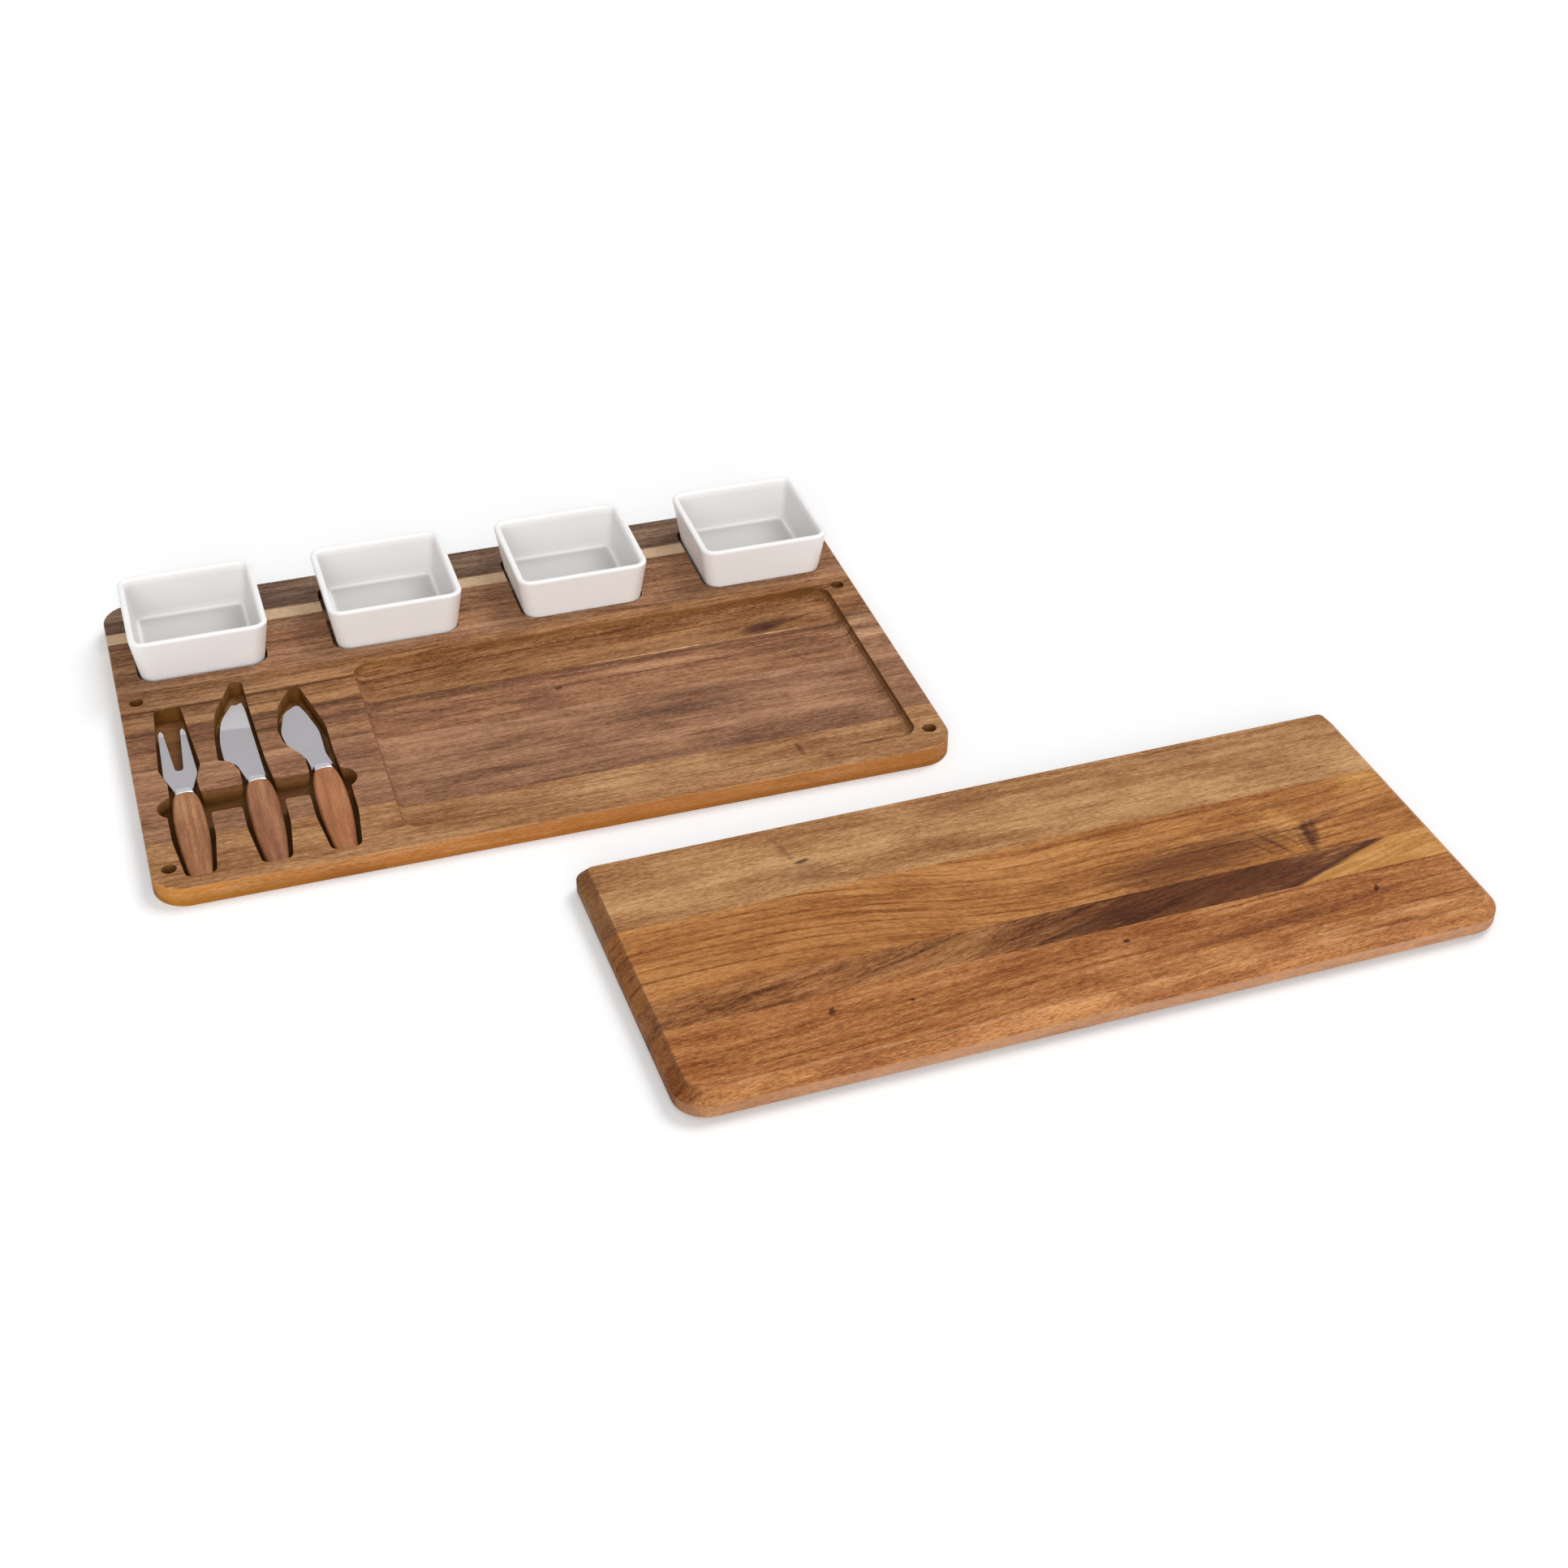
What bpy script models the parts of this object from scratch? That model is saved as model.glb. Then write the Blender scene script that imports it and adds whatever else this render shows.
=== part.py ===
# Tapas board: an edge-glued base with a serving tray, seats for four bowls and one
# recess for three tools, the bowls and tools that lie in it, and a lid that pegs on.
# Metres, +Z up. The origin is the centre of the base's underside. +X runs along the
# board, and -Y is its front, where the butts of the tools' handles lie.

import math

import bmesh
import bpy
from mathutils import Matrix, Vector

# Clearances and cuts
seat_gap = 0.0003          # between a piece and what carries it
overrun = 0.002            # how far a cut runs past the face that it opens

# Base board
board_length = 0.432
board_depth = 0.2825
base_thickness = 0.0115
board_corner_radius = 0.018
edge_round = 0.0006
base_joint_shares = (0.148, 0.381, 0.516, 0.660, 0.850)   # glue lines, front to back

# Bowls, tapered squares with a ring foot
bowl_count = 4
bowl_rim_side = 0.0782
bowl_foot_side = 0.0688
bowl_height = 0.0322
bowl_corner_radius = 0.0085
bowl_wall = 0.0038
bowl_inner_depth = 0.0257
bowl_floor_fillet = 0.004
bowl_rim_round = 0.0016
bowl_foot_width = 0.006
bowl_foot_rise = 0.0012
bowl_foot_round = 0.0006
bowl_shifts = ((0, 0.0008), (0.00095, 0.0003), (0.0003, -0.0008), (0.0006, -0.0008))  # in its seat

# Bowl seats along the back of the base
seat_depth = 0.007
seat_clearance = 0.0013
seat_left_margin = 0.0133  # wood left outside the seats
seat_right_margin = 0.0121
seat_back_margin = 0.014

# Serving tray
tray_length = 0.2848
tray_depth = 0.0058
tray_end_margin = 0.0168
tray_front_margin = 0.0153
tray_back_margin = 0.0168  # wood left between the tray and the bowl seats
tray_corner_radius = 0.010
tray_cove_radius = 0.0055

# Tool handles, barrels with a flattened section, and their collars
handle_length = 0.0735
handle_width = 0.0174
handle_thickness = 0.0086
section_power = 2.3        # 2 gives an ellipse, and a higher power a squarer section
collar_setback = 0.0032    # from the blade's shoulders
collar_length = 0.0043
collar_width = 0.0122
collar_height = 0.0082
collar_edge_break = 0.0004

# Stations of a handle from its collar to its butt: how far along its length, then its
# breadth and its height there, as shares of the handle's width and thickness
handle_station_shares = (
    (0.000, 0.713, 0.900),
    (0.060, 0.826, 0.935),
    (0.141, 0.912, 0.965),
    (0.277, 0.988, 0.990),
    (0.403, 1.000, 1.000),
    (0.529, 0.980, 1.000),
    (0.686, 0.900, 0.975),
    (0.843, 0.780, 0.910),
    (0.953, 0.688, 0.845),
    (0.986, 0.632, 0.780),
    (1.000, 0.540, 0.680),
)

# Blades and tangs
blade_thickness = 0.0012
blade_edge_break = 0.00015
tang_width = 0.0042
tang_length = 0.042
fork_length_share = 0.564      # of the way from the blades' shoulders to the bowl seats
fork_width = 0.018
knife_length_share = 0.709
knife_width = 0.0198
spreader_length_share = 0.597
spreader_width = 0.021

# Blade outlines, anticlockwise from the right of the root: across and corner radius
# as shares of the blade's width, along as shares of its length
fork_half_shares = (
    (0.300, 0.000, 0.00),
    (0.510, 0.225, 0.45),
    (0.415, 0.940, 0.25),
    (0.335, 1.000, 0.03),
    (0.255, 0.955, 0.15),
    (0.117, 0.303, 0.115),
)
knife_shares = (
    (0.253, 0.000, 0.00),
    (0.152, 0.895, 2.00),
    (0.101, 1.000, 0.04),
    (-0.081, 0.970, 0.08),
    (-0.192, 0.985, 0.025),
    (-0.586, 0.800, 2.10),
    (-0.753, 0.515, 4.00),
    (-0.742, 0.270, 0.18),
    (-0.434, 0.183, 0.35),
    (-0.290, 0.000, 0.00),
)
spreader_shares = (
    (0.267, 0.000, 0.00),
    (0.171, 0.169, 1.20),
    (0.176, 0.530, 2.10),
    (-0.048, 0.860, 1.40),
    (-0.200, 1.002, 0.10),
    (-0.619, 0.892, 0.45),
    (-0.824, 0.580, 1.20),
    (-0.733, 0.338, 0.70),
    (-0.362, 0.137, 0.60),
    (-0.305, 0.000, 0.00),
)

# Tool recess: where the tools lie, and the room round them
pocket_depth = 0.009
pocket_front_margin = 0.0092
pocket_clearance = 0.002   # round the blades
grip_clearance = 0.0025    # round the handles
neck_clearance = 0.0022    # round the collars
butt_clearance = 0.001
fork_inset = 0.025        # from the board's left end to the tool's axis
knife_inset = 0.0638
spreader_inset = 0.0994
fork_tip_room = 0.016
knife_tip_room = 0.0153
spreader_tip_room = 0.0116
slot_width = 0.020         # finger slot across the handles
slot_setback = 0.0105      # from the blades' shoulders to the slot
slot_end_room = 0.0157     # from the outer tools' axes to the slot's ends
island_round = 0.0018
grip_corner_radius = 0.004
grip_bend_radius = 0.040
grip_taper_share = 0.62    # how far down the pocket its full breadth runs
grip_butt_share = 0.70     # its half breadth at the butt

# Pocket outlines round the blades, clockwise from the left of the root: across and
# corner radius as shares of the pocket's breadth, along as shares of its length
fork_pocket_half_shares = (
    (-0.350, 0.020, 0.40),
    (-0.514, 0.207, 0.25),
    (-0.336, 1.000, 0.16),
)
knife_pocket_shares = (
    (-0.340, 0.035, 0.35),
    (-0.510, 0.146, 0.25),
    (-0.765, 0.172, 0.06),
    (-0.710, 0.470, 1.70),
    (-0.605, 0.683, 1.30),
    (-0.092, 1.000, 0.13),
    (0.195, 1.000, 0.14),
    (0.199, 0.780, 2.50),
    (0.268, 0.157, 1.70),
)
spreader_pocket_shares = (
    (-0.340, 0.070, 0.55),
    (-0.690, 0.280, 0.70),
    (-0.760, 0.490, 1.20),
    (-0.610, 0.790, 1.00),
    (-0.250, 1.005, 0.14),
    (-0.040, 1.000, 0.12),
    (0.296, 0.446, 1.60),
    (0.296, 0.080, 1.60),
)

# Lid and its pegs
lid_thickness = 0.013
lid_chamfer = 0.0065
lid_corner_radius = 0.017
lid_back_corner_radius = 0.009
lid_back_gap = 0.0078      # from the closed lid to the bowl seats
lid_joint_shares = (0.262, 0.380, 0.671)                  # glue lines, front to back
peg_diameter = 0.0074
peg_drop = 0.003           # how far the pegs stand out of the lid
peg_socket_depth = 0.006
peg_chamfer = 0.0006
peg_hole_diameter = 0.008
peg_hole_depth = 0.006
peg_hole_chamfer = 0.0003
peg_end_inset = 0.0095     # from the lid's ends, front and back edge to the pegs' axes
peg_front_inset = 0.0193
peg_back_inset = 0.0104

# Where the lid lies beside the base
lid_rest_shift = 0.2071    # along the board
lid_rest_gap = 0.0387      # between the base's front and the lid's back
lid_rest_turn = math.radians(1.4)

# Colours of the staves, front to back
base_shades = (
    (0.38, 0.22, 0.10),
    (0.29, 0.14, 0.075),
    (0.30, 0.15, 0.085),
    (0.33, 0.18, 0.09),
    (0.29, 0.15, 0.085),
    (0.25, 0.13, 0.08),
)
lid_shades = (
    (0.46, 0.19, 0.075),
    (0.26, 0.11, 0.055),
    (0.44, 0.20, 0.075),
    (0.42, 0.24, 0.12),
)

# How finely round stretches are stepped
arc_step = math.radians(9)
turned_steps = 20
bowl_corner_steps = 6
bowl_fillet_steps = 3
rim_steps = 3
section_steps = 28
cove_steps = 4
edge_steps = 2
slot_end_steps = 10

# Numerical limits, far below any real size
weld_distance = 0.000001
level_tolerance = 0.00001
flat_angle = math.radians(0.2)
rim_angle = math.radians(40)
smooth_angle = math.radians(35)

# Places worked out from the sizes
front = -board_depth / 2
left_end = -board_length / 2
pocket_floor = base_thickness - pocket_depth
bowl_level = base_thickness - seat_depth + seat_gap
bowl_side_at_board = bowl_foot_side + (bowl_rim_side - bowl_foot_side) * seat_depth / bowl_height
seat_side = bowl_side_at_board + 2 * seat_clearance
seat_y = board_depth / 2 - seat_back_margin - seat_side / 2
seat_front = seat_y - seat_side / 2
first_seat_x = left_end + seat_left_margin + seat_side / 2
last_seat_x = -left_end - seat_right_margin - seat_side / 2
seat_pitch = (last_seat_x - first_seat_x) / (bowl_count - 1)
lid_depth = seat_front - lid_back_gap - front
grip_length = collar_setback + collar_length + seat_gap + handle_length
shoulder_y = front + pocket_front_margin + butt_clearance + grip_length
blade_run = seat_front - shoulder_y
fork_length = fork_length_share * blade_run
knife_length = knife_length_share * blade_run
spreader_length = spreader_length_share * blade_run
tool_level = pocket_floor + seat_gap + handle_thickness / 2
slot_back = shoulder_y - slot_setback
slot_front = slot_back - slot_width


# Scene and collections

def clear_scene():
    for old in list(bpy.data.objects):
        bpy.data.objects.remove(old)


def new_collection(name):
    made = bpy.data.collections.new(name)
    bpy.context.scene.collection.children.link(made)
    return made


def new_object(name, data, home):
    made = bpy.data.objects.new(name, data)
    home.objects.link(made)
    return made


# Outlines

def rounded(corners):
    # Each corner is (x, y, radius). Two fillets that need more than the edge between
    # them share it in proportion.
    count = len(corners)
    places = [Vector(corner[:2]) for corner in corners]
    edges = [places[(i + 1) % count] - places[i] for i in range(count)]
    half_angles = [edges[i].angle(-edges[i - 1]) / 2 for i in range(count)]
    wishes = [corners[i][2] / math.tan(half_angles[i]) for i in range(count)]
    fits = []
    for i in range(count):
        wanted = wishes[i] + wishes[(i + 1) % count]
        fits.append(min(1, edges[i].length / wanted) if wanted > 0 else 1)
    path = []
    for i in range(count):
        reach = wishes[i] * min(fits[i - 1], fits[i])
        path += fillet(places[i], -edges[i - 1].normalized(), edges[i].normalized(), reach, half_angles[i])
    return without_repeats(path)


def fillet(corner, back, ahead, reach, half_angle):
    if reach == 0:
        return [corner]
    radius = reach * math.tan(half_angle)
    centre = corner + (back + ahead).normalized() * radius / math.sin(half_angle)
    spoke = corner + back * reach - centre
    turn = math.pi - 2 * half_angle
    if back.cross(ahead) > 0:
        turn = -turn
    steps = max(1, math.ceil(abs(turn) / arc_step))
    return [centre + Matrix.Rotation(turn * step / steps, 2) @ spoke for step in range(steps + 1)]


def without_repeats(path):
    return [path[i] for i in range(len(path)) if (path[i] - path[i - 1]).length > weld_distance]


def rounded_rectangle(length, depth, radius, centre=(0, 0), back_radius=None):
    # The two corners at its back may have a radius of their own.
    x, y = centre
    back = radius if back_radius is None else back_radius
    signs = ((1, 1, back), (-1, 1, back), (-1, -1, radius), (1, -1, radius))
    return rounded([(x + a * length / 2, y + b * depth / 2, r) for a, b, r in signs])


def mirrored(half):
    # Follows one half of an outline with the other half, back across the middle.
    return list(half) + [(-x, y, radius) for x, y, radius in reversed(half)]


# Solids

def prism(outline, low, high):
    # A flat outline thickened between two heights, with one face at each end.
    curve = bpy.data.curves.new("outline", "CURVE")
    curve.dimensions = "2D"
    curve.fill_mode = "BOTH"
    curve.extrude = (high - low) / 2
    spline = curve.splines.new("POLY")
    spline.points.add(len(outline) - 1)
    for point, place in zip(spline.points, outline):
        point.co = (place[0], place[1], 0, 1)
    spline.use_cyclic_u = True
    guide = new_object("outline", curve, bpy.context.scene.collection)
    guide.location.z = (low + high) / 2
    mesh = evaluated_mesh(guide)
    bpy.data.objects.remove(guide)
    with_bmesh(mesh, tidy_prism)
    return mesh


def tidy_prism(bm):
    bmesh.ops.remove_doubles(bm, verts=bm.verts, dist=weld_distance)
    bmesh.ops.dissolve_degenerate(bm, dist=weld_distance, edges=bm.edges)
    bmesh.ops.dissolve_limit(bm, angle_limit=flat_angle, verts=bm.verts, edges=bm.edges)
    bmesh.ops.recalc_face_normals(bm, faces=bm.faces)


def evaluated_mesh(guide):
    bpy.context.view_layer.update()
    seen = guide.evaluated_get(bpy.context.evaluated_depsgraph_get())
    mesh = bpy.data.meshes.new_from_object(seen)
    mesh.transform(guide.matrix_world)
    return mesh


def with_bmesh(mesh, change, *values):
    bm = bmesh.new()
    bm.from_mesh(mesh)
    change(bm, *values)
    bm.to_mesh(mesh)
    bm.free()


def round_level(bm, level, radius, steps):
    # Rounds the sharp edges that lie at one height; one step makes a chamfer.
    edges = [
        edge for edge in bm.edges
        if all(abs(vert.co.z - level) < level_tolerance for vert in edge.verts)
        and edge.calc_face_angle() > rim_angle
    ]
    bmesh.ops.bevel(
        bm, geom=edges, offset=radius, offset_type="OFFSET", segments=steps,
        profile=0.5, affect="EDGES", clamp_overlap=False)


def block(low, high):
    # The cube's corners are set straight to the two given ones, so that blocks which
    # share a plane share it exactly.
    bm = bmesh.new()
    bmesh.ops.create_cube(bm, size=1)
    for vert in bm.verts:
        vert.co = [high[axis] if vert.co[axis] > 0 else low[axis] for axis in range(3)]
    mesh = bpy.data.meshes.new("block")
    bm.to_mesh(mesh)
    bm.free()
    return mesh


def turned(profile):
    # The profile is (radius, height) down the outer side, from axis to axis.
    mesh = bpy.data.meshes.new("profile")
    links = [(i, i + 1) for i in range(len(profile) - 1)]
    mesh.from_pydata([(radius, 0, height) for radius, height in profile], links, [])
    guide = new_object("profile", mesh, bpy.context.scene.collection)
    screw = guide.modifiers.new("turn", "SCREW")
    screw.axis = "Z"
    screw.steps = turned_steps
    screw.render_steps = turned_steps
    screw.use_merge_vertices = True
    screw.merge_threshold = weld_distance
    solid = evaluated_mesh(guide)
    bpy.data.objects.remove(guide)
    return solid


def shade_round(mesh):
    mesh.shade_smooth()
    mesh.set_sharp_from_angle(angle=smooth_angle)


# Pieces, cutters and Booleans

def new_material(name, colour, roughness, metallic):
    made = bpy.data.materials.new(name)
    made.use_nodes = True
    shader = made.node_tree.nodes["Principled BSDF"]
    shader.inputs["Base Color"].default_value = (*colour, 1)
    shader.inputs["Roughness"].default_value = roughness
    shader.inputs["Metallic"].default_value = metallic
    return made


def new_piece(name, mesh, material, parent=None):
    made = new_object(name, mesh, parts)
    if not mesh.materials:
        mesh.materials.append(material)
    made.parent = parent
    return made


def new_axis(name, place, turn=0):
    made = new_object(name, None, parts)
    made.location = place
    made.rotation_euler.z = turn
    return made


def new_cutter(name, mesh, parent=None):
    made = new_object(name, mesh, cutters)
    made.hide_render = True
    made.display_type = "WIRE"
    made.parent = parent
    return made


def add_boolean(target, other, operation):
    change = target.modifiers.new(other.name, "BOOLEAN")
    change.operation = operation
    change.solver = "EXACT"
    change.object = other


# The three tools, from the board's left end

tools = [
    {
        "name": "fork",
        "inset": fork_inset,
        "length": fork_length,
        "width": fork_width,
        "tip_room": fork_tip_room,
        "blade": mirrored(fork_half_shares),
        "pocket": mirrored(fork_pocket_half_shares),
    },
    {
        "name": "knife",
        "inset": knife_inset,
        "length": knife_length,
        "width": knife_width,
        "tip_room": knife_tip_room,
        "blade": knife_shares,
        "pocket": knife_pocket_shares,
    },
    {
        "name": "spreader",
        "inset": spreader_inset,
        "length": spreader_length,
        "width": spreader_width,
        "tip_room": spreader_tip_room,
        "blade": spreader_shares,
        "pocket": spreader_pocket_shares,
    },
]


# Base

def board_blank(length, depth, thickness, corner_radius, back_radius=None):
    outline = rounded_rectangle(length, depth, corner_radius, back_radius=back_radius)
    mesh = prism(outline, 0, thickness)
    with_bmesh(mesh, round_level, 0, edge_round, edge_steps)
    return mesh


def seat_places():
    return [(first_seat_x + index * seat_pitch, seat_y) for index in range(bowl_count)]


def seat_cutters():
    made = []
    seat_radius = bowl_corner_radius + seat_clearance
    for number, place in enumerate(seat_places(), 1):
        outline = rounded_rectangle(seat_side, seat_side, seat_radius, place)
        mesh = prism(outline, base_thickness - seat_depth, base_thickness + overrun)
        made.append(new_cutter(f"bowl_seat_{number}", mesh))
    return made


def tray_cutter():
    tray_front = front + tray_front_margin
    tray_back = seat_front - tray_back_margin
    tray_right = -left_end - tray_end_margin
    centre = (tray_right - tray_length / 2, (tray_front + tray_back) / 2)
    outline = rounded_rectangle(tray_length, tray_back - tray_front, tray_corner_radius, centre)
    floor = base_thickness - tray_depth
    mesh = prism(outline, floor, base_thickness + overrun)
    with_bmesh(mesh, round_level, floor, tray_cove_radius, cove_steps)
    return new_cutter("tray_recess", mesh)


def peg_places(depth):
    # In the frame of the lid, whose origin is the middle of its underside.
    x = board_length / 2 - peg_end_inset
    y_front = -depth / 2 + peg_front_inset
    y_back = depth / 2 - peg_back_inset
    return [(-x, y_front), (x, y_front), (-x, y_back), (x, y_back)]


def peg_hole_cutters():
    radius = peg_hole_diameter / 2
    flare = peg_hole_chamfer + overrun
    profile = [
        (0, base_thickness + overrun),
        (radius + flare, base_thickness + overrun),
        (radius, base_thickness - peg_hole_chamfer),
        (radius, base_thickness - peg_hole_depth),
        (0, base_thickness - peg_hole_depth),
    ]
    closed_lid_y = front + lid_depth / 2
    made = []
    for number, (x, y) in enumerate(peg_places(lid_depth), 1):
        mesh = turned(profile)
        mesh.transform(Matrix.Translation((x, closed_lid_y + y, 0)))
        made.append(new_cutter(f"peg_hole_{number}", mesh))
    return made


# Tool recess: one outline that runs round the finger slot, up and down each blade's
# pocket, and up and down each handle's pocket

def slot_end(tool, side):
    # Half a circle, cut off where the tool's own pocket crosses it, and listed from
    # the front of the slot to its back.
    radius = slot_width / 2
    tool_x = left_end + tool["inset"]
    centre_x = tool_x + side * (slot_end_room - radius)
    centre_y = (slot_front + slot_back) / 2
    front_turn = crossing_angle(tool_x + side * grip_half_breadth(), centre_x, radius, side)
    back_turn = crossing_angle(tool_x + side * neck_half_breadth(), centre_x, radius, side)
    points = []
    for step in range(slot_end_steps + 1):
        angle = -front_turn + (front_turn + back_turn) * step / slot_end_steps
        x = centre_x + side * radius * math.cos(angle)
        y = centre_y + radius * math.sin(angle)
        corner = island_round if step in (0, slot_end_steps) else 0
        points.append((x, y, corner))
    return points


def crossing_angle(line_x, centre_x, radius, side):
    share = side * (line_x - centre_x) / radius
    return math.acos(min(1, max(0, share)))


def grip_half_breadth():
    return handle_width / 2 + grip_clearance


def neck_half_breadth():
    return collar_width / 2 + neck_clearance


def blade_pocket(tool):
    breadth = tool["width"] + 2 * pocket_clearance
    reach = tool["length"] + tool["tip_room"]
    x = left_end + tool["inset"]
    return [(x + a * breadth, shoulder_y + b * reach, r * breadth) for a, b, r in tool["pocket"]]


def grip_pocket(tool):
    x = left_end + tool["inset"]
    end = front + pocket_front_margin
    taper_y = shoulder_y + (end - shoulder_y) * grip_taper_share
    half = [
        (grip_half_breadth(), taper_y, grip_bend_radius),
        (grip_half_breadth() * grip_butt_share, end, grip_corner_radius),
    ]
    return [(x + a, b, r) for a, b, r in mirrored(half)]


def recess_outline():
    first, last = tools[0], tools[-1]
    corners = slot_end(first, -1)
    for tool in tools:
        x = left_end + tool["inset"]
        if tool is not first:
            corners.append((x - neck_half_breadth(), slot_back, island_round))
        corners += blade_pocket(tool)
        if tool is not last:
            corners.append((x + neck_half_breadth(), slot_back, island_round))
    corners += reversed(slot_end(last, 1))
    for tool in reversed(tools):
        x = left_end + tool["inset"]
        if tool is not last:
            corners.append((x + grip_half_breadth(), slot_front, island_round))
        corners += grip_pocket(tool)
        if tool is not first:
            corners.append((x - grip_half_breadth(), slot_front, island_round))
    return rounded(corners)


def recess_cutter():
    mesh = prism(recess_outline(), pocket_floor, base_thickness + overrun)
    return new_cutter("tool_recess", mesh)


def joint_places(depth, shares):
    # Glue lines of a board, with its outer edges passed by the overrun.
    inner = [-depth / 2 + share * depth for share in shares]
    return [-depth / 2 - overrun, *inner, depth / 2 + overrun]


def make_staves(name, blank, places, thickness, shades, parent=None):
    # Each stave is the board between two glue lines, so neighbours meet face to face.
    x = board_length / 2 + overrun
    for number, (low_y, high_y) in enumerate(zip(places, places[1:]), 1):
        title = f"{name}_stave_{number}"
        mesh = block((-x, low_y, -overrun), (x, high_y, thickness + overrun))
        wood = new_material(title, shades[number - 1], roughness=0.5, metallic=0)
        stave = new_piece(title, mesh, wood, parent)
        add_boolean(stave, blank, "INTERSECT")


def make_base():
    mesh = board_blank(board_length, board_depth, base_thickness, board_corner_radius)
    with_bmesh(mesh, round_level, base_thickness, edge_round, edge_steps)
    blank = new_cutter("base_blank", mesh)
    for cutter in [*seat_cutters(), tray_cutter(), recess_cutter(), *peg_hole_cutters()]:
        add_boolean(blank, cutter, "DIFFERENCE")
    places = joint_places(board_depth, base_joint_shares)
    make_staves("base", blank, places, base_thickness, base_shades)


# Bowls

def bowl_mesh():
    bm = bmesh.new()
    bmesh.ops.create_cube(bm, size=1)
    for vert in bm.verts:
        upper = vert.co.z > 0
        side = bowl_rim_side if upper else bowl_foot_side
        vert.co = (vert.co.x * side, vert.co.y * side, bowl_height if upper else 0)
    corners = [edge for edge in bm.edges if edge.verts[0].co.z != edge.verts[1].co.z]
    bmesh.ops.bevel(
        bm, geom=corners, offset=bowl_corner_radius, offset_type="OFFSET",
        segments=bowl_corner_steps, profile=0.5, affect="EDGES", clamp_overlap=False)
    narrowing = (bowl_rim_side - bowl_foot_side) * bowl_inner_depth / bowl_height
    inner_side = bowl_rim_side - 2 * bowl_wall
    sink(bm, 1, bowl_wall, bowl_inner_depth, (inner_side - narrowing) / inner_side)
    sink(bm, -1, bowl_foot_width, bowl_foot_rise, 1)
    round_level(bm, bowl_height - bowl_inner_depth, bowl_floor_fillet, bowl_fillet_steps)
    round_level(bm, bowl_height, bowl_rim_round, rim_steps)
    round_level(bm, 0, bowl_foot_round, edge_steps)
    mesh = bpy.data.meshes.new("bowl")
    bm.to_mesh(mesh)
    bm.free()
    shade_round(mesh)
    return mesh


def sink(bm, facing, rim, depth, narrowing_share):
    # Insets the top or bottom face by the rim, then pushes it in and narrows it.
    face = max(bm.faces, key=lambda one: facing * one.calc_center_median().z)
    bmesh.ops.inset_region(bm, faces=[face], thickness=rim, use_even_offset=True)
    bmesh.ops.inset_region(bm, faces=[face], thickness=0, depth=0)
    for vert in face.verts:
        x, y, z = vert.co
        vert.co = (x * narrowing_share, y * narrowing_share, z - facing * depth)


def make_bowls():
    mesh = bowl_mesh()
    glaze = new_material("bowl_glaze", (0.86, 0.84, 0.82), roughness=0.12, metallic=0)
    for number, ((x, y), (shift_x, shift_y)) in enumerate(zip(seat_places(), bowl_shifts), 1):
        bowl = new_piece(f"bowl_{number}", mesh, glaze)
        bowl.location = (x + shift_x, y + shift_y, bowl_level)


# Tools, each in a frame whose origin is between its blade's shoulders: +Y runs along
# the blade and +Z is square to it

def make_tool(tool):
    axis = new_axis(tool["name"] + "_axis", (left_end + tool["inset"], shoulder_y, tool_level))
    tang = tang_cutter(tool, axis)
    make_blade(tool, axis)
    make_collar(tool, axis, tang)
    make_handle(tool, axis, tang)


def make_blade(tool, axis):
    # The root stands on the collar, and the tang runs through it into the handle.
    width, length = tool["width"], tool["length"]
    root = seat_gap - collar_setback
    outline = [(a * width, b * length, r * width) for a, b, r in tool["blade"]]
    right, left = outline[0][0], outline[-1][0]
    tang = [(-tang_width / 2, root, 0), (-tang_width / 2, -tang_length, 0)]
    outline += [(left, root, 0), *mirrored(tang), (right, root, 0)]
    half = blade_thickness / 2
    mesh = prism(rounded(outline), -half, half)
    for level in (-half, half):
        with_bmesh(mesh, round_level, level, blade_edge_break, 1)
    steel = new_material(tool["name"] + "_steel", (0.58, 0.58, 0.57), roughness=0.32, metallic=1)
    new_piece(tool["name"] + "_blade", mesh, steel, axis)


def tang_cutter(tool, axis):
    x = tang_width / 2 + seat_gap
    z = blade_thickness / 2 + seat_gap
    mesh = block((-x, -tang_length - seat_gap, -z), (x, overrun, z))
    return new_cutter(tool["name"] + "_tang_slot", mesh, axis)


def barrel_section(breadth, height):
    # A closed curve between an ellipse and a rectangle.
    points = []
    for step in range(section_steps):
        angle = 2 * math.pi * step / section_steps
        across, up = math.cos(angle), math.sin(angle)
        x = math.copysign(abs(across) ** (2 / section_power), across)
        y = math.copysign(abs(up) ** (2 / section_power), up)
        points.append((x * breadth / 2, y * height / 2))
    return points


def along_handle(start):
    # Lays a bar that stands on its end along -Y, from the given place.
    return Matrix.Translation((0, start, 0)) @ Matrix.Rotation(math.pi / 2, 4, "X")


def make_collar(tool, axis, tang):
    mesh = prism(barrel_section(collar_width, collar_height), 0, collar_length)
    for level in (0, collar_length):
        with_bmesh(mesh, round_level, level, collar_edge_break, edge_steps)
    mesh.transform(along_handle(-collar_setback))
    shade_round(mesh)
    polish = new_material(tool["name"] + "_polish", (0.72, 0.72, 0.71), roughness=0.1, metallic=1)
    collar = new_piece(tool["name"] + "_collar", mesh, polish, axis)
    add_boolean(collar, tang, "DIFFERENCE")


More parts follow.
